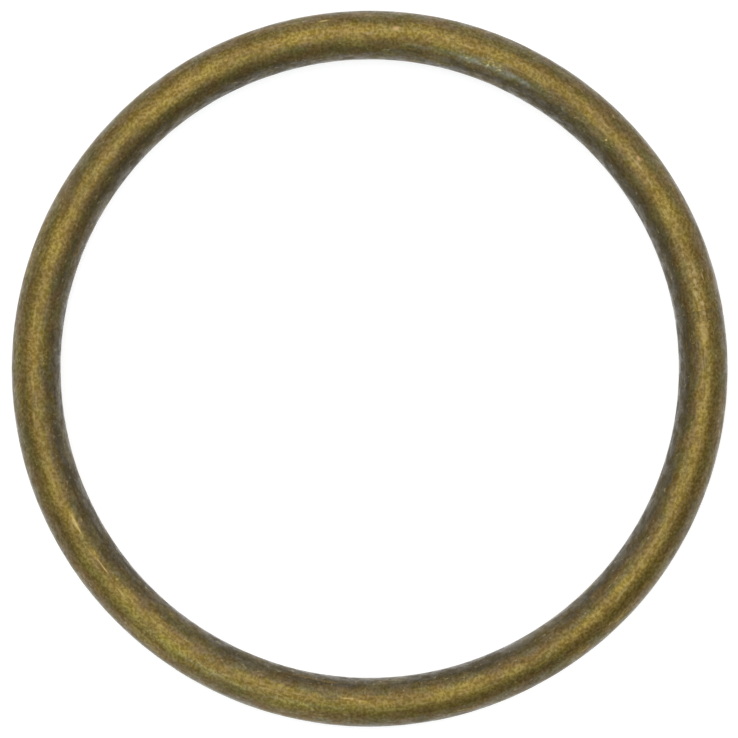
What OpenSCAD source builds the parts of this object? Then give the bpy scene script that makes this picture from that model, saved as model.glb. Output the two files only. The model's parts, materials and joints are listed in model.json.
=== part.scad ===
// A plain closed ring of round wire. The wire is bent once round, and its two
// ends are butt welded and dressed almost flush. The ring lies flat, with its
// centre at the origin, its axis along Z and its front face towards +Z.
// Angles are counted anticlockwise from +X, seen from the front.

/* [Ring] */
// Inside diameter: the clear opening of the ring
inner_d = 38; // [12:0.5:100]
// Diameter of the round wire
wire_d = 3; // [1:0.1:8]

/* [Butt weld] */
// Direction of the middle of the weld, seen from the ring's centre
weld_dir = 9; // [-180:1:180]
// Length of the weld along the middle of the wire
weld_l = 0.6; // [0.2:0.05:1.5]
// Depth of the dressed weld below the surface of the wire
weld_sink = 0.03; // [0:0.01:0.1]

/* [Hidden] */
// Steps of a drawn circle: once round the wire, and once round the ring
wire_steps = 96;
ring_steps = 240;

full_turn = 360;

// Radius of the circle that the middle of the wire follows
bend_r = (inner_d + wire_d) / 2;

// Angle that the weld takes up, and so the gap between the two wire ends. It is
// kept to a whole number of small steps, so that both pieces end on one plane.
arc_step = 0.01;
weld_arc = arc_step * round(full_turn * weld_l / (2 * PI * bend_r) / arc_step);

// Each stretch of the ring starts where the other one ends
weld_start = weld_dir - weld_arc / 2;
wire_start = weld_dir + weld_arc / 2;
wire_arc = full_turn - weld_arc;

// A stretch of round bar, d thick, bent to the ring's radius through arc
// degrees. Its two ends are cut square to the bar.
module bent_bar(d, start, arc) {
    rotate([0, 0, start])
        rotate_extrude(angle = arc, $fn = ring_steps)
            translate([bend_r, 0])
                circle(d = d, $fn = wire_steps);
}

module ring_wire() {
    color("#857040")
        bent_bar(wire_d, wire_start, wire_arc);
}

// The weld fills the gap face to face, a little below the wire all round
module weld_seam() {
    color("#665631")
        bent_bar(wire_d - 2 * weld_sink, weld_start, weld_arc);
}

ring_wire();
weld_seam();
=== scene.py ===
"""The looks of a closed ring of round wire in antique brass.

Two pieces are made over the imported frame: the bent wire and the butt weld that
closes it. Both are computed as a straight bar, with its relief and its marks,
and the bar is then bent round the ring's axis. Lengths are in metres, apart
from the attribute drawn_wire, which is in millimetres because patterns of this
size are easier to read that way.
"""
import json
import math

import bpy
import numpy as np
from bpy.props import FloatProperty, FloatVectorProperty, IntProperty, PointerProperty
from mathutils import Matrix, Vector


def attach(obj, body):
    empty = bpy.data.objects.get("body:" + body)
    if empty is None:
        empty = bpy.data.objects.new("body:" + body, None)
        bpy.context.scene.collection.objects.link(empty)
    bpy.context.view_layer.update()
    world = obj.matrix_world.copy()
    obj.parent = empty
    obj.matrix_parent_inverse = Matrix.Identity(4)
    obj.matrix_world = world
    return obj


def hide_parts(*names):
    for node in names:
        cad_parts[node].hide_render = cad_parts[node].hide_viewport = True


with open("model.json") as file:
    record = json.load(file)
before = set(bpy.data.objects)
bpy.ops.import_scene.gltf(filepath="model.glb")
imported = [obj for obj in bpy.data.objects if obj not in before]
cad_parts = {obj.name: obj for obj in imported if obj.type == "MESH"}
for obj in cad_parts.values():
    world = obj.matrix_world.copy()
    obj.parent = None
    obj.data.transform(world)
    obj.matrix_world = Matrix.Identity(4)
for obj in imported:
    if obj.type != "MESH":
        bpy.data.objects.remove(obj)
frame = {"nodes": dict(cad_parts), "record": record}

bl_info = {
    "name": "Antique Brass Ring",
    "version": (1, 0, 0),
    "blender": (4, 5, 0),
    "location": "3D View > Sidebar > Brass Ring",
    "description": "A welded ring of round wire in antique brass, and a small studio",
    "category": "Add Mesh",
}

MM = 0.001
FULL_TURN = 2 * math.pi
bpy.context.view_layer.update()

# Rows of faces that round a bar's rim, and the size of the ring of points on
# its end face as a share of the bar
RIM_STEPS = 4
CAP_SHARE = 0.5

# Rows of faces along the weld
WELD_STEPS = 24

# Strips that each piece's flat map is cut into, the gap left round a strip, and
# the place of the long seam as a share of a turn, counted back from the outer
# side
BAKE_MAP = "OFBake"
WIRE_STRIPS = 4
WELD_STRIPS = 1
BAKE_MARGIN = 0.004
BAKE_SEAM = 3 / 8


def ring_sizes():
    """The ring's driving sizes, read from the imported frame: the radii of its
    opening and of its wire from the record's mounts, and the weld's lowest and
    highest angle from its own mesh."""
    radii = {mount["name"]: mount["dims"]["r_mm"] * MM for mount in frame["record"]["mounts"]}
    mesh = frame["nodes"]["weld_seam"].data
    places = np.empty(3 * len(mesh.vertices))
    mesh.vertices.foreach_get("co", places)
    x, y, _ = places.reshape(-1, 3).T
    angles = np.arctan2(y, x)
    return {
        "wire_radius": radii["wire_bar"],
        "bend_radius": radii["ring_opening"] + radii["wire_bar"],
        "weld_start": float(angles.min()),
        "weld_end": float(angles.max()),
    }


SIZES = ring_sizes()


# ---------------------------------------------------------------- settings


class RingShape(bpy.types.PropertyGroup):
    """Sizes of the ring and of the relief in its surface."""

    wire_radius: FloatProperty(
        name="Wire radius", description="Half the thickness of the round wire",
        default=SIZES["wire_radius"], min=0.0001, unit="LENGTH", precision=5)
    bend_radius: FloatProperty(
        name="Bend radius", description="Radius that the middle of the wire follows",
        default=SIZES["bend_radius"], min=0.001, unit="LENGTH", precision=5)
    weld_start: FloatProperty(
        name="Weld start", description="Angle from +X at which the weld begins",
        default=SIZES["weld_start"], subtype="ANGLE", precision=4)
    weld_end: FloatProperty(
        name="Weld end", description="Angle from +X at which the weld ends",
        default=SIZES["weld_end"], subtype="ANGLE", precision=4)
    end_round: FloatProperty(
        name="End rounding", description="Rounding of the wire's edges at the weld",
        default=0.012 * MM, min=0.0, unit="LENGTH", precision=6)
    weld_hollow: FloatProperty(
        name="Weld hollow", description="Depth of the dressed weld below the wire",
        default=0.012 * MM, min=0.0, unit="LENGTH", precision=6)
    dressed_length: FloatProperty(
        name="Dressed length", description="Length of wire that was ground beside the weld",
        default=3.8 * MM, min=0.0, unit="LENGTH", precision=5)
    dressed_depth: FloatProperty(
        name="Dressed depth", description="Depth of the flats that the grinding left",
        default=0.012 * MM, min=0.0, unit="LENGTH", precision=6)
    unevenness: FloatProperty(
        name="Unevenness", description="Slow rise and fall of the drawn wire's surface",
        default=0.005 * MM, min=0.0, unit="LENGTH", precision=6)
    peel: FloatProperty(
        name="Orange peel", description="Height of the fine waves left by plating",
        default=0.0016 * MM, min=0.0, unit="LENGTH", precision=6)
    dings: IntProperty(
        name="Dings", description="How many small dents the wire has", default=90, min=0)
    steps_along: IntProperty(
        name="Steps along", description="Rows of faces along the wire",
        default=1060, min=24)
    steps_round: IntProperty(
        name="Steps round", description="Faces round the wire", default=90, min=12)
    seed: IntProperty(name="Seed", description="Picks the pattern of marks", default=7)


class RingFinish(bpy.types.PropertyGroup):
    """Colours of the antique brass finish, from bare brass to thick film."""

    brass: FloatVectorProperty(
        name="Rubbed brass", description="Brass where the dark film is rubbed thin",
        default=(0.247, 0.166, 0.038), subtype="COLOR", min=0.0, max=1.0)
    gold: FloatVectorProperty(
        name="Yellow brass", description="Yellower patches of rubbed brass",
        default=(0.241, 0.173, 0.034), subtype="COLOR", min=0.0, max=1.0)
    umber: FloatVectorProperty(
        name="Brown film", description="The film that ages the brass",
        default=(0.145, 0.093, 0.028), subtype="COLOR", min=0.0, max=1.0)
    olive: FloatVectorProperty(
        name="Olive film", description="Greener patches of the film",
        default=(0.116, 0.092, 0.026), subtype="COLOR", min=0.0, max=1.0)
    charcoal: FloatVectorProperty(
        name="Thick film", description="Nearly black film where nothing rubs it",
        default=(0.062, 0.046, 0.018), subtype="COLOR", min=0.0, max=1.0)
    copper: FloatVectorProperty(
        name="Copper blush", description="Red cast where the plating has worn through",
        default=(0.500, 0.325, 0.155), subtype="COLOR", min=0.0, max=1.0)
    # Its colour also paints highlights and a glint through the marks and the crest's hairlines
    fleck: FloatVectorProperty(
        name="Bright fleck", description="Small flecks of bare bright metal",
        default=(0.520, 0.420, 0.210), subtype="COLOR", min=0.0, max=1.0)
    # The two covers thicken the film on the sides, partly as patina and partly as painted shade
    inner_film_and_shade: FloatProperty(
        name="Inner cover", description="Extra film on the side that faces the opening",
        default=0.62, min=0.0, max=1.0)
    outer_film_and_shade: FloatProperty(
        name="Outer cover", description="Extra film on the side that faces outwards",
        default=0.32, min=0.0, max=1.0)
    roughness: FloatProperty(
        name="Roughness", description="Roughness of the rubbed brass",
        default=0.40, subtype="FACTOR", min=0.0, max=1.0)
    lacquer: FloatProperty(
        name="Lacquer", description="How much clear lacquer lies over the finish",
        default=0.27, subtype="FACTOR", min=0.0, max=1.0)
    lacquer_roughness: FloatProperty(
        name="Lacquer roughness", description="How matt the clear lacquer is",
        default=0.23, subtype="FACTOR", min=0.0, max=1.0)


class RingStudio(bpy.types.PropertyGroup):
    """Sizes and strengths of the floor, lights and camera."""

    view_width: FloatProperty(
        name="View width", description="Width of the picture at the ring",
        default=45.36 * MM, min=0.001, unit="LENGTH", precision=5)
    camera_height: FloatProperty(
        name="Camera height", description="Height of the camera above the ring",
        default=0.40, min=0.01, unit="LENGTH")
    floor_radius: FloatProperty(
        name="Floor radius", description="Radius of the round floor",
        default=2.2, min=0.01, unit="LENGTH")
    softbox_tilt: FloatProperty(
        name="Softbox tilt", description="How far the overhead light leans to +Y",
        default=math.radians(13), subtype="ANGLE")
    softbox_size: FloatProperty(
        name="Softbox size", description="Width of the overhead light",
        default=0.80, min=0.01, unit="LENGTH")
    softbox_glow: FloatProperty(
        name="Softbox glow", description="Brightness of the overhead light's face",
        default=1.05, min=0.0)
    side_glow: FloatProperty(
        name="Side light glow", description="Brightness of the cool side light's face",
        default=3.75, min=0.0)
    low_glow: FloatProperty(
        name="Low light glow", description="Brightness of the low side light's face",
        default=0.78, min=0.0)
    room_glow: FloatProperty(
        name="Room glow", description="Brightness of the room above the horizon",
        default=0.36, min=0.0)


# ---------------------------------------------------------------- surfaces


def smooth_step(x):
    """0 below 0, 1 above 1, and 3x^2 - 2x^3 between."""
    x = np.clip(x, 0, 1)
    return x * x * (3 - 2 * x)


def even_field(random, shape, pitch, reach):
    """White noise on the grid, blurred by a bell curve of the two lengths in
    reach and then scaled to a spread of one. The blur is done by frequency, so
    the field joins itself at both pairs of edges."""
    noise = np.fft.rfft2(random.standard_normal(shape))
    along = np.fft.fftfreq(shape[0], pitch[0])[:, None]
    around = np.fft.rfftfreq(shape[1], pitch[1])[None, :]
    bell = np.exp(-2 * math.pi**2 * ((along * reach[0]) ** 2 + (around * reach[1]) ** 2))
    bell[0, 0] = 0
    field = np.fft.irfft2(noise * bell, s=shape)
    return field / field.std()


def round_gap(v, middle):
    """The shorter way round from middle to v, in radians, from -pi to pi."""
    return (v - middle + math.pi) % FULL_TURN - math.pi


# Height of a dent's raised rim, share of the dents that are scratches, and the
# limits of a dent's width, of its depth for its width, and of its length for
# its width if it is a scratch or not
DENT_RIM = 0.35
SCRATCH_SHARE = 0.2
DENT_WIDTH = (0.10 * MM, 0.30 * MM)
DENT_DEPTH = (0.010, 0.030)
SCRATCH_STRETCH = (3, 9)
DENT_STRETCH = (0.8, 1.6)

# Distance from a dent's middle, in lengths of the dent, past which it is flat
DENT_END = 4


def dent(s, across, length, width):
    """One dent: a bell-shaped pit, with a low rim raised round it. The pit is
    exp(-q) and the rim is DENT_RIM q exp(-q), where q is the squared distance
    in units of the dent's length along the wire and its width round it."""
    q = (s / length) ** 2 + (across / width) ** 2
    return np.exp(-q) * (DENT_RIM * q - 1)


def wire_dents(random, s, v, length, radius, count):
    """The sum of count dents at random places. Most are short and shallow, one
    in five is a scratch that runs along the wire, and the depth goes with the
    width."""
    total = np.zeros(np.broadcast(s, v).shape)
    for _ in range(count):
        middle = random.uniform(0, length)
        turn = random.uniform(0, FULL_TURN)
        width = random.uniform(*DENT_WIDTH)
        scratch = random.random() < SCRATCH_SHARE
        stretch = random.uniform(*(SCRATCH_STRETCH if scratch else DENT_STRETCH))
        depth = width * random.uniform(*DENT_DEPTH)
        rows = np.abs(s[:, 0] - middle) < DENT_END * width * stretch
        gap = round_gap(v, turn) * radius
        total[rows] += depth * dent(s[rows] - middle, gap, width * stretch, width)
    return total


# Marks that the ring carries, and painted highlights and a painted glint put in
# among them as bright bare metal: angle from +X in degrees, height of the place
# round the wire (0 is its outer side and 90 its front), length along the wire
# and width round it in millimetres, and how much bare metal, copper or thick
# lacquer shows. A mark with strands is a bundle of that many fine scratches,
# each as long as a share of the mark, or of its own reach.
WEAR_AND_HIGHLIGHT_MARKS = (
    # The long nick
    {"angle": 97.5, "turn": 49, "length": 0.32, "width": 0.07, "bare_and_highlight": 0.9},
    # Two copper coloured spots
    {"angle": 85.5, "turn": 74, "length": 0.20, "width": 0.13, "copper": 0.8},
    {"angle": 38.0, "turn": 75, "length": 0.16, "width": 0.12, "copper": 0.8},
    # The white speck
    {"angle": 44.0, "turn": 103, "length": 0.07, "width": 0.07, "bare_and_highlight": 1.0},
    # The silver dash
    {"angle": 15.5, "turn": 64, "length": 0.26, "width": 0.07, "bare_and_highlight": 0.8},
    # Three painted highlights along the crest, drawn as bright rubs
    {"angle": 206.3, "turn": 95, "length": 1.20, "width": 0.14, "bare_and_highlight": 0.74, "strands": 9},
    {"angle": 215.0, "turn": 96, "length": 0.95, "width": 0.11, "bare_and_highlight": 0.68, "strands": 7},
    {"angle": 267.5, "turn": 97, "length": 1.00, "width": 0.15, "bare_and_highlight": 0.60, "strands": 8},
    # A painted highlight past the weld, drawn as a bright rub
    {"angle": 6.2, "turn": 88, "length": 0.95, "width": 0.27, "bare_and_highlight": 0.48},
    # A run of thick lacquer, streaks of it inside the run, and bright flecks there
    # that paint the side light's glint as bare metal
    {"angle": 69.0, "turn": 110, "length": 2.80, "width": 0.42, "lacquer": 0.8},
    {"angle": 69.5, "turn": 109, "length": 2.20, "width": 0.34, "lacquer": 1.0, "strands": 14},
    {"angle": 69.7, "turn": 107, "length": 1.80, "width": 0.32, "bare_and_highlight": 0.80, "strands": 40,
     "reach": 0.15},
)
# The first kind holds worn metal and painted highlights alike
MARK_KINDS = ("bare_and_highlight", "copper", "lacquer")

# Limits of a strand: its place along and across its mark and its own length, as
# shares of the mark's, then its width in millimetres and its strength
STRAND_ALONG = (-0.7, 0.7)
STRAND_ACROSS = (-0.8, 0.8)
STRAND_LENGTH = (0.25, 0.7)
STRAND_WIDTH = (0.03, 0.05)
STRAND_STRENGTH = (0.6, 1.0)


def mark_bells(random, s, v, mark, shape, start):
    """The bell or bells of one mark, exp(-q^2), which is flatter than a plain
    bell. A strand is a narrow bell at a random place inside the mark."""
    turn_from_start = (math.radians(mark["angle"]) - start) % FULL_TURN
    along = (s - turn_from_start * shape.bend_radius) / MM
    across = round_gap(v, math.radians(mark["turn"])) * shape.wire_radius / MM
    length, width = mark["length"], mark["width"]
    if "strands" not in mark:
        yield np.exp(-(((along / length) ** 2 + (across / width) ** 2) ** 2))
    for _ in range(mark.get("strands", 0)):
        shift = random.uniform(*STRAND_ALONG) * length
        side = random.uniform(*STRAND_ACROSS) * width
        reach = random.uniform(*STRAND_LENGTH) * mark.get("reach", length)
        thin = random.uniform(*STRAND_WIDTH)
        q = ((along - shift) / reach) ** 2 + ((across - side) / thin) ** 2
        yield random.uniform(*STRAND_STRENGTH) * np.exp(-(q**2))


def mark_masks(random, s, v, shape, start):
    """How much uncovered metal, copper and thick lacquer shows at each place: the
    largest bell over the placed marks. The uncovered metal also holds the painted
    highlights and the painted glint."""
    masks = {kind: np.zeros(np.broadcast(s, v).shape) for kind in MARK_KINDS}
    for mark in WEAR_AND_HIGHLIGHT_MARKS:
        for bell in mark_bells(random, s, v, mark, shape, start):
            for kind, mask in masks.items():
                np.maximum(mask, mark.get(kind, 0) * bell, out=mask)
    return masks


def bar_rows(length, radius, end_round, steps):
    """Distances along a bar and its radius there, from one end face to the
    other. The body is evenly stepped between two first rows that lie close to
    the rims, so that a rim's slope doesn't spread over the body. Each rim is a
    quarter circle of radius end_round: at the angle t it lies
    end_round (1 - cos t) from the end face, and end_round (1 - sin t) below the
    body's surface."""
    t = np.linspace(0, math.pi / 2, RIM_STEPS + 1)
    rim = end_round * (1 - np.cos(t))
    drop = end_round * (1 - np.sin(t))
    body = np.linspace(2 * end_round, length - 2 * end_round, steps + 1)
    s = np.concatenate([rim, body, length - rim[::-1]])
    rho = radius - np.concatenate([drop, 0 * body, drop[::-1]])
    return s, rho


def bar_faces(rows, columns):
    """Faces over rows rings of columns points each, and a fan at each end to a
    pole. The two poles are the last two points."""
    grid = np.arange(rows * columns).reshape(rows, columns)
    here, there = grid[:-1], grid[1:]
    ahead, beyond = np.roll(here, -1, 1), np.roll(there, -1, 1)
    quads = np.stack([here, there, beyond, ahead], -1).reshape(-1, 4)
    near, far = grid[0], grid[-1]
    near_fan = np.stack([np.full(columns, grid.size), near, np.roll(near, -1)], -1)
    far_fan = np.stack([np.full(columns, grid.size + 1), np.roll(far, -1), far], -1)
    return quads.tolist() + near_fan.tolist() + far_fan.tolist()


def closed_bar(name, start, s, rho, relief, bend_radius, strips):
    """A bar bent round Z, as one closed mesh.

    A point lies s along the middle of the bar, and v round it from its outer
    side. Its distance from the bar's middle is rho(s) plus the relief there. At
    the angle start + s / bend_radius, that puts it at bend_radius + rho cos v
    from the axis and at a height of rho sin v. Each end is closed by a smaller
    ring and a pole."""
    columns = relief.shape[1]
    v = np.arange(columns) / columns * FULL_TURN
    body = rho[:, None] + relief
    rings = np.concatenate([body[:1] * CAP_SHARE, body, body[-1:] * CAP_SHARE])
    places = np.concatenate([s[:1], s, s[-1:]])[:, None]
    angle = start + places / bend_radius
    out = bend_radius + rings * np.cos(v)
    points = np.stack([out * np.cos(angle), out * np.sin(angle), rings * np.sin(v)], -1)
    ends = start + s[[0, -1]] / bend_radius
    poles = bend_radius * np.stack([np.cos(ends), np.sin(ends), 0 * ends], -1)
    mesh = bpy.data.meshes.new(name)
    vertices = np.concatenate([points.reshape(-1, 3), poles])
    mesh.from_pydata(vertices, [], bar_faces(len(rings), columns))
    mesh.shade_smooth()
    straight = np.stack(np.broadcast_arrays(places, rings * np.cos(v), rings * np.sin(v)), -1)
    pole_places = np.stack([s[[0, -1]], np.zeros(2), np.zeros(2)], -1)
    drawn = np.concatenate([straight.reshape(-1, 3), pole_places]) / MM
    add_attribute(mesh, "drawn_wire", "FLOAT_VECTOR", drawn)
    outline = np.concatenate([[0, rho[0] * CAP_SHARE], rho, [rho[-1] * CAP_SHARE, 0]])
    outline_s = np.concatenate([s[[0, 0]], s, s[[-1, -1]]])
    along = np.append(0, np.cumsum(np.hypot(np.diff(outline_s), np.diff(outline))))
    strip_map(mesh, along, columns, strips)
    return mesh


def strip_map(mesh, along, columns, strips):
    """Lays the bar out flat for a bake, cut lengthwise along the back of its
    inner side and straight across into strips, which lie one above another. The
    strips fill the square from 0 to 1. along is the distance of each ring of
    points from the first pole, measured over the surface. The corners are in
    the order of the bar's faces."""
    strip = np.minimum(along[:-1] / along[-1] * strips, strips - 1).astype(int)
    begins = np.array([along[:-1][strip == k].min() for k in range(strips)])[strip]
    scale = (1 - 2 * BAKE_MARGIN) / (along[1:] - begins).max()
    left = BAKE_MARGIN + scale * (along[:-1] - begins)
    right = BAKE_MARGIN + scale * (along[1:] - begins)
    turn = (np.arange(columns) + round(BAKE_SEAM * columns)) % columns
    step = (1 / strips - 2 * BAKE_MARGIN) / columns
    low = strip[:, None] / strips + BAKE_MARGIN + step * turn
    left, right, low = np.broadcast_arrays(left[:, None], right[:, None], low)
    high, middle = low + step, low + step / 2
    quads = np.stack([left, low, right, low, right, high, left, high], -1)[1:-1]
    near_fan = np.stack([left, middle, right, low, right, high], -1)[0]
    far_fan = np.stack([right, middle, left, high, left, low], -1)[-1]
    corners = np.concatenate([quads.ravel(), near_fan.ravel(), far_fan.ravel()])
    mesh.uv_layers.new(name=BAKE_MAP).data.foreach_set("uv", corners)


def add_attribute(mesh, name, kind, values):
    """Stores one value or vector for each vertex."""
    attribute = mesh.attributes.new(name, kind, "POINT")
    attribute.data.foreach_set("vector" if kind == "FLOAT_VECTOR" else "value",
                               np.ascontiguousarray(values, dtype=np.float32).ravel())


def over_mesh(values):
    """A grid of values over a bar, with its end rings and poles given the
    values of the rows next to them."""
    rows = np.concatenate([values[:1], values, values[-1:]])
    return np.concatenate([rows.ravel(), values[0, :1], values[-1, :1]])


def add_piece(context, mesh, node, material):
    """A finished piece: it sits at the origin, rides on the ring's one body
    and stands for one CAD node."""
    piece = bpy.data.objects.new(mesh.name, mesh)
    context.scene.collection.objects.link(piece)
    mesh.materials.append(material)
    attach(piece, "root")
    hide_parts(node)


# --------------------------------------------------------------- materials


class Tree:
    """Adds nodes to a node tree. An input is given by its name, or by its
    number after an underscore, and takes a value or another node's socket."""

    def __init__(self, tree):
        self.tree = tree

    def node(self, kind, settings=None, **inputs):
        made = self.tree.nodes.new(kind)
        for key, value in (settings or {}).items():
            setattr(made, key, value)
        for key, value in inputs.items():
            name = key.replace("_", " ")
            socket = made.inputs[int(key[1:])] if key[1:].isdigit() else made.inputs[name]
            if isinstance(value, bpy.types.NodeSocket):
                self.tree.links.new(value, socket)
            else:
                socket.default_value = value
        return made

    def math(self, operation, *values, clamp=False):
        settings = {"operation": operation, "use_clamp": clamp}
        inputs = {f"_{i}": value for i, value in enumerate(values)}
        return self.node("ShaderNodeMath", settings, **inputs).outputs[0]

    def noise(self, vector, scale, detail=2.0, roughness=0.5):
        made = self.node("ShaderNodeTexNoise", Vector=vector, Scale=scale, Detail=detail,
                         Roughness=roughness)
        return made.outputs["Fac"]

    def ramp(self, value, low, high, to_low=0.0, to_high=1.0):
        """value carried along a smooth step from low..high to to_low..to_high,
        and held beyond them."""
        made = self.node("ShaderNodeMapRange", {"interpolation_type": "SMOOTHSTEP"},
                         _0=value, _1=low, _2=high, _3=to_low, _4=to_high)
        return made.outputs[0]

    def mix(self, share, one, other):
        """A colour that goes from one to other as share goes from 0 to 1."""
        made = self.node("ShaderNodeMix", {"data_type": "RGBA"}, _0=share, _6=one, _7=other)
        return made.outputs[2]

    def drawn_out(self, vector, share):
        """The vector with its first axis, along the wire, multiplied by share,
        so that a pattern on it is 1 / share times as long along the wire."""
        made = self.node("ShaderNodeVectorMath", {"operation": "MULTIPLY"},
                         _0=vector, _1=(share, 1.0, 1.0))
        return made.outputs[0]


def new_group(name, inputs, outputs):
    """An empty node group with named sockets. Returns it, its Tree and its
    inputs by name."""
    group = bpy.data.node_groups.new(name, "ShaderNodeTree")
    for key, kind in inputs.items():
        group.interface.new_socket(name=key, in_out="INPUT", socket_type=kind)
    for key, kind in outputs.items():
        group.interface.new_socket(name=key, in_out="OUTPUT", socket_type=kind)
    tree = Tree(group)
    given = tree.node("NodeGroupInput").outputs
    return group, tree, given


def close_group(tree, **outputs):
    """Sends the sockets to the group's outputs."""
    tree.node("NodeGroupOutput", **outputs)


# What each pattern adds to the film: large and middle patches, streaks, and
# streaks that were rubbed. The bias brings the sum of all four to about zero.
LARGE_PATCHES = 0.50
MIDDLE_PATCHES = 0.32
STREAKS = 0.28
RUBBED_STREAKS = -0.12
PATCH_BIAS = -0.52

# How far the patterns move the film for each unit of Cover, and with none
PATCH_SPREAD = (2.5, 0.35)


def patina_group():
    """How thick the dark film is, from 0 to 1, how olive it looks, how light or
    dark the metal's tone is and how the lacquer is mottled. Patches, streaks and
    rubbed streaks, all longer along the wire, are added to Cover. They count for
    more where Cover is high."""
    group, tree, given = new_group(
        "Antique Patina",
        {"Wire": "NodeSocketVector", "Cover": "NodeSocketFloat"},
        {"Film": "NodeSocketFloat", "Hue": "NodeSocketFloat", "Tone": "NodeSocketFloat",
         "Mottle": "NodeSocketFloat"},
    )
    wire = given["Wire"]
    slow = tree.drawn_out(wire, 0.5)
    large = tree.noise(tree.drawn_out(wire, 0.4), scale=0.45)
    middle = tree.noise(slow, scale=1.7)
    streak = tree.noise(tree.drawn_out(wire, 0.07), scale=5.0)
    rubbed = tree.noise(tree.drawn_out(wire, 0.14), scale=4.0, detail=3.0)
    rubbed = tree.ramp(rubbed, 0.56, 0.72)
    total = tree.math("MULTIPLY_ADD", large, LARGE_PATCHES, PATCH_BIAS)
    total = tree.math("MULTIPLY_ADD", middle, MIDDLE_PATCHES, total)
    total = tree.math("MULTIPLY_ADD", streak, STREAKS, total)
    total = tree.math("MULTIPLY_ADD", rubbed, RUBBED_STREAKS, total)
    spread = tree.math("MULTIPLY_ADD", given["Cover"], *PATCH_SPREAD)
    film = tree.math("MULTIPLY_ADD", total, spread, given["Cover"], clamp=True)
    hue = tree.ramp(tree.noise(slow, scale=1.4, detail=1.0), 0.34, 0.66)
    tone = tree.noise(slow, scale=0.7, detail=4.0, roughness=0.85)
    tone = tree.ramp(tone, 0.32, 0.68, to_low=0.83, to_high=1.17)
    mottle = tree.ramp(tree.noise(slow, scale=2.6), 0.38, 0.62, to_low=0.4, to_high=1.6)
    close_group(tree, Film=film, Hue=hue, Tone=tone, Mottle=mottle)
    return group


# How far to the outer side the most rubbed line lies, in millimetres, how far
# from that line the crest and its middle stripe fade out, and how far from the
# weld the dressed stretch does
CREST_OFFSET = 0.10
CREST_FADE = (0.25, 0.60)
STRIPE_FADE = (0.08, 0.38)
DRESSED_FADE = (2.8, 3.9)

# How much likelier flecks are where the wire was dressed and on the crest, the
# most that a hairline shows, and the grains' share in the bump. The dressed
# flecks are partly ground metal and partly painted sparkle in the crest's
# highlight, and the hairlines are painted highlight lines along the crest
DRESSED_FLECKS_AND_SPARKLE = 0.24
CREST_FLECKS = -0.06
HIGHLIGHT_HAIR_STRENGTH = 0.7
GRAIN_HEIGHT = 0.6


def grain_group():
    """The fine grain of the tumbled plating: how bright each grain is, where
    metal is uncovered, and the height of the grains for a bump. Uncovered metal
    shows as a few short flecks, more of them on the crest that was dressed beside
    the weld, where they also paint sparkle into the crest's highlight, and as short
    hairlines along the crest, which paint a thin highlight line there."""
    group, tree, given = new_group(
        "Tumbled Grain",
        {"Wire": "NodeSocketVector"},
        {"Grain": "NodeSocketFloat", "Fleck": "NodeSocketFloat", "Height": "NodeSocketFloat"},
    )
    wire = given["Wire"]
    places = tree.node("ShaderNodeSeparateXYZ", Vector=wire).outputs
    off_crest = tree.math("ABSOLUTE", tree.math("SUBTRACT", places["Y"], CREST_OFFSET))
    crest = tree.ramp(off_crest, *CREST_FADE, to_low=1.0, to_high=0.0)
    stripe = tree.ramp(off_crest, *STRIPE_FADE, to_low=1.0, to_high=0.0)
    grain = tree.noise(wire, scale=5.6)
    spots = tree.noise(tree.drawn_out(wire, 0.65), scale=4.8)
    # Flecks where the wire was dressed: partly ground metal, partly painted sparkle in the
    # crest's highlight
    dressed = tree.ramp(places["X"], *DRESSED_FADE, to_low=DRESSED_FLECKS_AND_SPARKLE, to_high=0.0)
    likely = tree.math("MULTIPLY_ADD", dressed, stripe, spots)
    likely = tree.math("MULTIPLY_ADD", crest, CREST_FLECKS, likely)
    fleck = tree.ramp(likely, 0.62, 0.78)
    # Hairlines of bright colour on the crest stripe: painted highlight lines, partly fine
    # scratches
    highlight_hairs = tree.noise(tree.drawn_out(wire, 0.12), scale=4.8)
    highlight_hairs = tree.ramp(highlight_hairs, 0.54, 0.72, to_low=0.0, to_high=HIGHLIGHT_HAIR_STRENGTH)
    highlight_hair = tree.math("MULTIPLY", highlight_hairs, stripe)
    waves = tree.noise(wire, scale=3.2, detail=4.0, roughness=0.6)
    height = tree.math("MULTIPLY_ADD", grain, GRAIN_HEIGHT, waves)
    close_group(tree, Grain=grain, Fleck=tree.math("MAXIMUM", fleck, highlight_hair), Height=height)
    return group


def shared_groups():
    """The node groups that both finishes use, each built once."""
    found = {}
    for name, build in (("Antique Patina", patina_group), ("Tumbled Grain", grain_group)):
        found[name] = bpy.data.node_groups.get(name) or build()
    return found


# Limits between which the grain goes from its darkest to its palest, what those
# grains multiply the colour under them by, and where the middle grain stands
# between them
GRAIN_LIMITS = (0.30, 0.70)
DARK_GRAIN = (0.76, 0.73, 0.52, 1.0)
PALE_GRAIN = (1.24, 1.27, 1.48, 1.0)
GRAIN_MIDDLE = 0.48

# Places across the wire, in millimetres towards its outer side, between which
# the film thickens on the inner and on the outer side. The thicker film on the
# sides is partly patina and partly painted shade that darkens the wire's sides
INNER_FILM_AND_SHADE = (0.15, -1.40)
OUTER_FILM_AND_SHADE = (0.30, 1.40)

# Thickness of film over which rubbed brass turns to aged, and aged to charcoal
AGED_FILM = (0.0, 0.5)
CHARCOAL_FILM = (0.40, 0.95)

# What the film changes, each as its slope and its value with no film: the
# grain's contrast, how metallic the surface is and how much lacquer pools
# there. Roughness has only a slope, because it starts from the finish's own.
FILM_CONTRAST = (-1.1, 1.53)
FILM_METAL = (-0.7, 1.0)
FILM_POOL = (1.6, 0.6)
FILM_ROUGHNESS = 0.14

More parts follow.
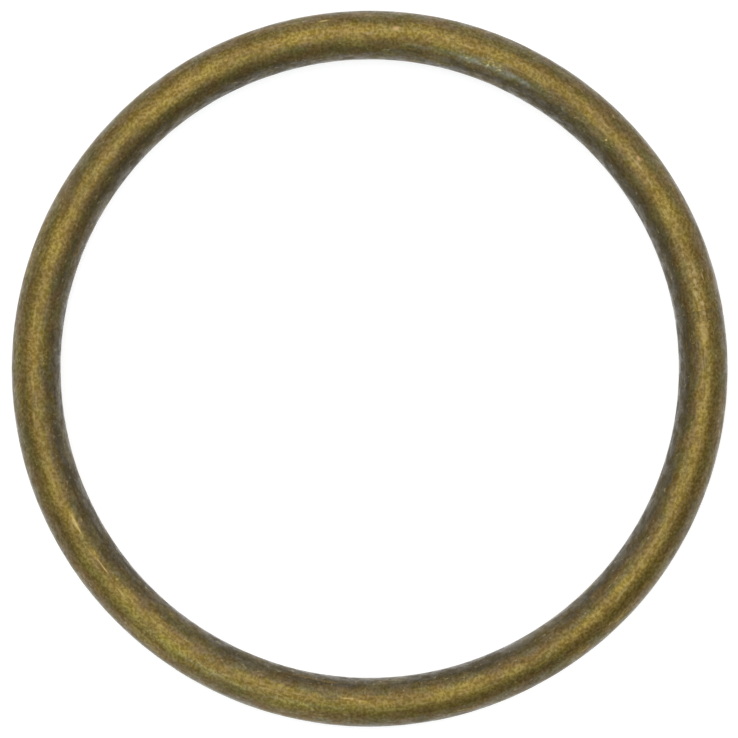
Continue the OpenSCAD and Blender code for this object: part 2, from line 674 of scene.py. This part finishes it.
# How much film a bare mark takes away, how bare it is where it turns bright,
# and the share of the bright colour in a fleck. The bright colour also paints
# the highlights and the glint that some marks and the crest's hairlines stand for
BARE_FILM = -0.5
BARE_LIMITS = (0.2, 1.0)
FLECK_SHARE = 0.36

# Lacquer on the darkest and on the palest grains as shares of the finish's, and
# how much more of it pools in a thick run
SPECKLE = (0.75, 1.25)
THICK_POOL = 2.0

# Height of the bump's grains, and the reflection of the metal under the lacquer
BUMP_HEIGHT = 0.01 * MM
BARE_SPECULAR = 0.1


def brass_finish(name, finish, cover, dull, bump):
    """Brass under a dark film and a clear lacquer. The film is thickest on the
    side that faces the opening, thinner on the outer side and thinnest on the
    crests of the two faces, where tumbling rubs most; on the sides it is partly
    painted shade, darkening them. Thin film is metallic and smooth, and shows the
    grain most. Thick film holds more lacquer. The bright metal colour paints
    highlights and a glint where marks stand for light."""
    groups = shared_groups()
    material = bpy.data.materials.new(name)
    material.use_nodes = True
    material.node_tree.nodes.clear()
    tree = Tree(material.node_tree)
    wire = tree.node("ShaderNodeAttribute", {"attribute_name": "drawn_wire"}).outputs["Vector"]
    # The bare mask holds worn metal and painted highlights alike
    bare_and_highlight = tree.node("ShaderNodeAttribute", {"attribute_name": "bare_and_highlight"}).outputs["Fac"]
    copper = tree.node("ShaderNodeAttribute", {"attribute_name": "copper"}).outputs["Fac"]
    thick = tree.node("ShaderNodeAttribute", {"attribute_name": "lacquer"}).outputs["Fac"]
    # Film that darkens the sides, partly patina and partly painted shade
    outward = tree.node("ShaderNodeSeparateXYZ", Vector=wire).outputs["Y"]
    inside = tree.ramp(outward, *INNER_FILM_AND_SHADE, to_low=0.0, to_high=finish.inner_film_and_shade)
    outside = tree.ramp(outward, *OUTER_FILM_AND_SHADE, to_low=cover, to_high=cover + finish.outer_film_and_shade)
    patina = tree.node("ShaderNodeGroup", {"node_tree": groups["Antique Patina"]}, Wire=wire,
                       Cover=tree.math("ADD", inside, outside))
    grain = tree.node("ShaderNodeGroup", {"node_tree": groups["Tumbled Grain"]}, Wire=wire)
    film = tree.math("MULTIPLY_ADD", bare_and_highlight, BARE_FILM, patina.outputs["Film"], clamp=True)
    hue = patina.outputs["Hue"]
    rubbed = tree.mix(hue, (*finish.brass, 1), (*finish.gold, 1))
    aged = tree.mix(hue, (*finish.umber, 1), (*finish.olive, 1))
    colour = tree.mix(tree.ramp(film, *AGED_FILM), rubbed, aged)
    colour = tree.mix(tree.ramp(film, *CHARCOAL_FILM), colour, (*finish.charcoal, 1))
    contrast = tree.math("MULTIPLY_ADD", film, *FILM_CONTRAST)
    grains = tree.ramp(grain.outputs["Grain"], *GRAIN_LIMITS, to_low=-0.5, to_high=0.5)
    grains = tree.math("MULTIPLY_ADD", grains, contrast, GRAIN_MIDDLE, clamp=True)
    tint = tree.mix(grains, DARK_GRAIN, PALE_GRAIN)
    colour = tree.node("ShaderNodeVectorMath", {"operation": "MULTIPLY"}, _0=colour,
                       _1=tint).outputs[0]
    colour = tree.node("ShaderNodeVectorMath", {"operation": "SCALE"}, _0=colour,
                       Scale=patina.outputs["Tone"]).outputs[0]
    colour = tree.mix(copper, colour, (*finish.copper, 1))
    flecks = tree.math("MULTIPLY", grain.outputs["Fleck"], FLECK_SHARE)
    # Bright metal colour: wear where the marks are wear, painted highlight where they stand for
    # light
    bright = tree.math("MAXIMUM", flecks, tree.ramp(bare_and_highlight, *BARE_LIMITS))
    colour = tree.mix(bright, colour, (*finish.fleck, 1))
    rough = tree.math("MULTIPLY_ADD", film, FILM_ROUGHNESS, finish.roughness + dull)
    metal = tree.math("MULTIPLY_ADD", film, *FILM_METAL)
    pool = tree.math("MULTIPLY_ADD", film, *FILM_POOL)
    least, most = (share * finish.lacquer for share in SPECKLE)
    speckle = tree.ramp(grain.outputs["Grain"], *GRAIN_LIMITS, to_low=least, to_high=most)
    pool = tree.math("MULTIPLY_ADD", thick, THICK_POOL, pool)
    pool = tree.math("MULTIPLY", pool, patina.outputs["Mottle"])
    coat = tree.math("MULTIPLY", speckle, pool, clamp=True)
    normal = tree.node("ShaderNodeBump", Strength=bump, Distance=BUMP_HEIGHT,
                       Height=grain.outputs["Height"]).outputs["Normal"]
    shader = tree.node("ShaderNodeBsdfPrincipled", Base_Color=colour, Roughness=rough,
                       Metallic=metal, Coat_Weight=coat, Normal=normal)
    shader.inputs["Specular IOR Level"].default_value = BARE_SPECULAR
    shader.inputs["Coat Roughness"].default_value = finish.lacquer_roughness
    tree.node("ShaderNodeOutputMaterial", Surface=shader.outputs["BSDF"])
    return material


def antique_brass(finish):
    """The wire's finish."""
    return brass_finish("antique_brass", finish, cover=0.16, dull=0.0, bump=0.5)


def weld_metal(finish):
    """The weld's finish: the same plating over a rougher, dressed surface."""
    return brass_finish("weld_metal", finish, cover=0.24, dull=0.03, bump=0.7)


# --------------------------------------------------------------- operators


# How far the parts of the relief reach, along the wire and round it
UNEVEN_REACH = (2.2 * MM, 0.7 * MM)
PEEL_REACH = (0.22 * MM, 0.17 * MM)
LINE_REACH = (1.6 * MM, 0.10 * MM)
WELD_REACH = (0.06 * MM, 0.25 * MM)

# Height of the die lines for the orange peel's, how much of the peel shows on
# the ground flats, and the length over which the relief fades out at an end, in
# radii of the end's rounding
LINE_HEIGHT = 0.5
FLAT_PEEL = 0.5
END_FADE = 4

# Flats that were ground round the wire beside the weld, how fast they turn
# along it in radians for each metre, and the share of the ground length that
# has their full depth
FLATS = 5
FLATS_TWIST = 900
FULL_DEPTH = 0.7

# Depth of the weld's ends below the wire and radius of their rims, both as
# shares of the rounding of the wire's ends, and the height of the weld's own
# peel for the wire's
WELD_DEPTH = 0.5
WELD_RIM = 0.25
WELD_PEEL = 2


class RING_OT_wire(bpy.types.Operator):
    """Make the bent wire, with its relief, its dents, its rubbed marks and the highlights
    painted among them as bright metal.
    """

    bl_idname = "ring.wire"
    bl_label = "Bent wire"

    def execute(self, context):
        shape = context.scene.ring_shape
        arc = FULL_TURN - (shape.weld_end - shape.weld_start)
        length = arc * shape.bend_radius
        s, rho = bar_rows(length, shape.wire_radius, shape.end_round, shape.steps_along)
        s_grid = s[:, None]
        v = (np.arange(shape.steps_round) / shape.steps_round * FULL_TURN)[None, :]
        random = np.random.default_rng(shape.seed)
        relief = self.relief(random, s_grid, v, length, shape)
        mesh = closed_bar("antique_wire", shape.weld_end, s, rho, relief, shape.bend_radius,
                          WIRE_STRIPS)
        for kind, mask in mark_masks(random, s_grid, v, shape, shape.weld_end).items():
            add_attribute(mesh, kind, "FLOAT", over_mesh(mask))
        add_piece(context, mesh, "ring_wire",
                  antique_brass(context.scene.ring_finish))
        return {"FINISHED"}

    @staticmethod
    def relief(random, s, v, length, shape):
        """Height of the surface over the plain bar: slow unevenness, orange
        peel, fine die lines along the wire, dents, and the flats that were
        ground beside the weld. All but the flats fade out at the ends."""
        grid = np.broadcast(s, v).shape
        pitch = (length / grid[0], FULL_TURN * shape.wire_radius / grid[1])
        slow = even_field(random, grid, pitch, UNEVEN_REACH)
        peel = even_field(random, grid, pitch, PEEL_REACH)
        lines = even_field(random, grid, pitch, LINE_REACH)
        waves = shape.unevenness * slow + shape.peel * (peel + LINE_HEIGHT * lines)
        waves += wire_dents(random, s, v, length, shape.wire_radius, shape.dings)
        end = END_FADE * shape.end_round
        fade = smooth_step(s / end) * smooth_step((length - s) / end)
        ground = 1 - smooth_step((s / shape.dressed_length - FULL_DEPTH) / (1 - FULL_DEPTH))
        facets = 0.5 - 0.5 * np.cos(FLATS * v + FLATS_TWIST * s) + FLAT_PEEL * peel
        return fade * waves - shape.dressed_depth * ground * facets


class RING_OT_weld(bpy.types.Operator):
    """Make the butt weld: a short, slightly hollow length between the ends."""

    bl_idname = "ring.weld"
    bl_label = "Butt weld"

    def execute(self, context):
        shape = context.scene.ring_shape
        length = (shape.weld_end - shape.weld_start) * shape.bend_radius
        s, rho = bar_rows(length, shape.wire_radius - WELD_DEPTH * shape.end_round,
                          WELD_RIM * shape.end_round, WELD_STEPS)
        s_grid = s[:, None]
        v = (np.arange(shape.steps_round) / shape.steps_round * FULL_TURN)[None, :]
        random = np.random.default_rng(shape.seed + 1)
        grid = np.broadcast(s_grid, v).shape
        pitch = (length / grid[0], FULL_TURN * shape.wire_radius / grid[1])
        peel = even_field(random, grid, pitch, WELD_REACH)
        hollow = np.sin(math.pi * s_grid / length) ** 2
        relief = -shape.weld_hollow * hollow + WELD_PEEL * shape.peel * hollow * peel
        mesh = closed_bar("dressed_weld", shape.weld_start, s, rho, relief, shape.bend_radius,
                          WELD_STRIPS)
        for kind in MARK_KINDS:
            add_attribute(mesh, kind, "FLOAT", over_mesh(np.zeros(grid)))
        add_piece(context, mesh, "weld_seam",
                  weld_metal(context.scene.ring_finish))
        return {"FINISHED"}


# The floor's grey, its own glow, and the corners of its outline
FLOOR_COLOUR = (0.50, 0.50, 0.50, 1)
FLOOR_GLOW = 0.72
FLOOR_CORNERS = 96

# Brightness of the room on its dim and on its lit side as shares of its glow,
# and the heights between which the white horizon turns to wall
DIM_SHARE = 0.36
LIT_SHARE = 2.6
HORIZON = (0.02, 0.26)
WHITE = (1, 1, 1, 1)

# Where the camera stands, beside the ring's axis, and what it can see
CAMERA_X = -0.042 * MM
CAMERA_Y = -0.022 * MM
NEAREST = 0.001
FARTHEST = 10


class RING_OT_studio(bpy.types.Operator):
    """Make the pale floor, the soft lights, the pale room and the camera."""

    bl_idname = "ring.studio"
    bl_label = "Studio"

    def execute(self, context):
        studio = context.scene.ring_studio
        self.floor(context, studio, context.scene.ring_shape)
        self.lights(context, studio)
        self.room(context, studio)
        self.camera(context, studio)
        context.scene.view_settings.view_transform = "Standard"
        return {"FINISHED"}

    @staticmethod
    def floor(context, studio, shape):
        """A round pale floor that the ring lies on, just below the highest
        bumps of the wire."""
        below = shape.wire_radius + 3 * shape.unevenness
        bpy.ops.mesh.primitive_circle_add(vertices=FLOOR_CORNERS, radius=studio.floor_radius,
                                          fill_type="NGON", location=(0, 0, -below))
        floor = context.object
        floor.name = "pale_floor"
        material = bpy.data.materials.new("pale_floor")
        material.use_nodes = True
        shader = material.node_tree.nodes["Principled BSDF"]
        shader.inputs["Base Color"].default_value = FLOOR_COLOUR
        shader.inputs["Roughness"].default_value = 0.9
        shader.inputs["Specular IOR Level"].default_value = 0.1
        shader.inputs["Emission Color"].default_value = WHITE
        shader.inputs["Emission Strength"].default_value = FLOOR_GLOW
        floor.data.materials.append(material)

    @staticmethod
    def lights(context, studio):
        """A broad softbox over the ring, leaning to +Y, and two cool lights on
        the side towards -X and -Y: a small one, and a dim wide one below it."""
        upright = math.degrees(math.pi / 2 - studio.softbox_tilt)
        add_light(context, "overhead_softbox", aim(around=90, up=upright), distance=0.55,
                  size=studio.softbox_size, glow=studio.softbox_glow, colour=(1.0, 0.985, 0.96))
        add_light(context, "cool_side_light", aim(around=245, up=51), distance=0.5,
                  size=0.20, glow=studio.side_glow, colour=(0.73, 0.95, 1.0))
        add_light(context, "low_side_light", aim(around=245, up=21), distance=0.5,
                  size=0.40, glow=studio.low_glow, colour=(0.92, 1.0, 0.95))

    @staticmethod
    def room(context, studio):
        """A white horizon, and above it a wall that is brighter towards +Y."""
        world = bpy.data.worlds.new("studio_room")
        context.scene.world = world
        world.use_nodes = True
        world.node_tree.nodes.clear()
        tree = Tree(world.node_tree)
        looking = tree.node("ShaderNodeTexCoord").outputs["Generated"]
        aims = tree.node("ShaderNodeSeparateXYZ", Vector=looking).outputs
        dim = (*[studio.room_glow * DIM_SHARE] * 3, 1)
        lit = (*[studio.room_glow * LIT_SHARE] * 3, 1)
        wall = tree.mix(tree.ramp(aims["Y"], -1.0, 1.0), dim, lit)
        colour = tree.mix(tree.ramp(aims["Z"], *HORIZON), WHITE, wall)
        back = tree.node("ShaderNodeBackground", Color=colour)
        tree.node("ShaderNodeOutputWorld", Surface=back.outputs[0])

    @staticmethod
    def camera(context, studio):
        """A long lens straight above the ring, with +Y up in the picture."""
        data = bpy.data.cameras.new("camera")
        camera = bpy.data.objects.new("camera", data)
        context.scene.collection.objects.link(camera)
        data.lens = data.sensor_width * studio.camera_height / studio.view_width
        camera.location = (CAMERA_X, CAMERA_Y, studio.camera_height)
        data.clip_start, data.clip_end = NEAREST, FARTHEST
        context.scene.camera = camera


def aim(around, up):
    """The direction at an angle round Z from +X, and another up from the
    floor, both in degrees."""
    around, up = math.radians(around), math.radians(up)
    return Vector((math.cos(up) * math.cos(around), math.cos(up) * math.sin(around),
                   math.sin(up)))


def add_light(context, name, direction, distance, size, glow, colour):
    """A round area light that faces the ring from a direction. Its power is
    its brightness times pi times its area, so glow stays what a mirror in the
    ring's place would show."""
    data = bpy.data.lights.new(name, "AREA")
    data.shape = "DISK"
    data.size = size
    data.energy = glow * math.pi * math.pi * (size / 2) ** 2
    data.color = colour
    light = bpy.data.objects.new(name, data)
    context.scene.collection.objects.link(light)
    light.location = direction * distance
    light.rotation_euler = direction.to_track_quat("Z", "Y").to_euler()
    light.visible_camera = False


class RING_PT_panel(bpy.types.Panel):
    """Lists what can be made and the values that shape it."""

    bl_idname = "RING_PT_panel"
    bl_label = "Brass Ring"
    bl_space_type = "VIEW_3D"
    bl_region_type = "UI"
    bl_category = "Brass Ring"

    def draw(self, context):
        for operator in OPERATORS:
            self.layout.operator(operator.bl_idname)
        for settings in SETTINGS:
            group = getattr(context.scene, settings)
            for key in group.bl_rna.properties.keys():
                if key not in ("rna_type", "name"):
                    self.layout.prop(group, key)


SETTINGS = {"ring_shape": RingShape, "ring_finish": RingFinish, "ring_studio": RingStudio}
OPERATORS = (RING_OT_studio, RING_OT_wire, RING_OT_weld)
CLASSES = (*SETTINGS.values(), *OPERATORS, RING_PT_panel)


def register():
    for cls in CLASSES:
        bpy.utils.register_class(cls)
    for name, cls in SETTINGS.items():
        setattr(bpy.types.Scene, name, PointerProperty(type=cls))


def unregister():
    for name in SETTINGS:
        delattr(bpy.types.Scene, name)
    for cls in reversed(CLASSES):
        bpy.utils.unregister_class(cls)


def main():
    register()
    bpy.ops.ring.studio()
    bpy.ops.ring.wire()
    bpy.ops.ring.weld()


if __name__ == "__main__":
    main()
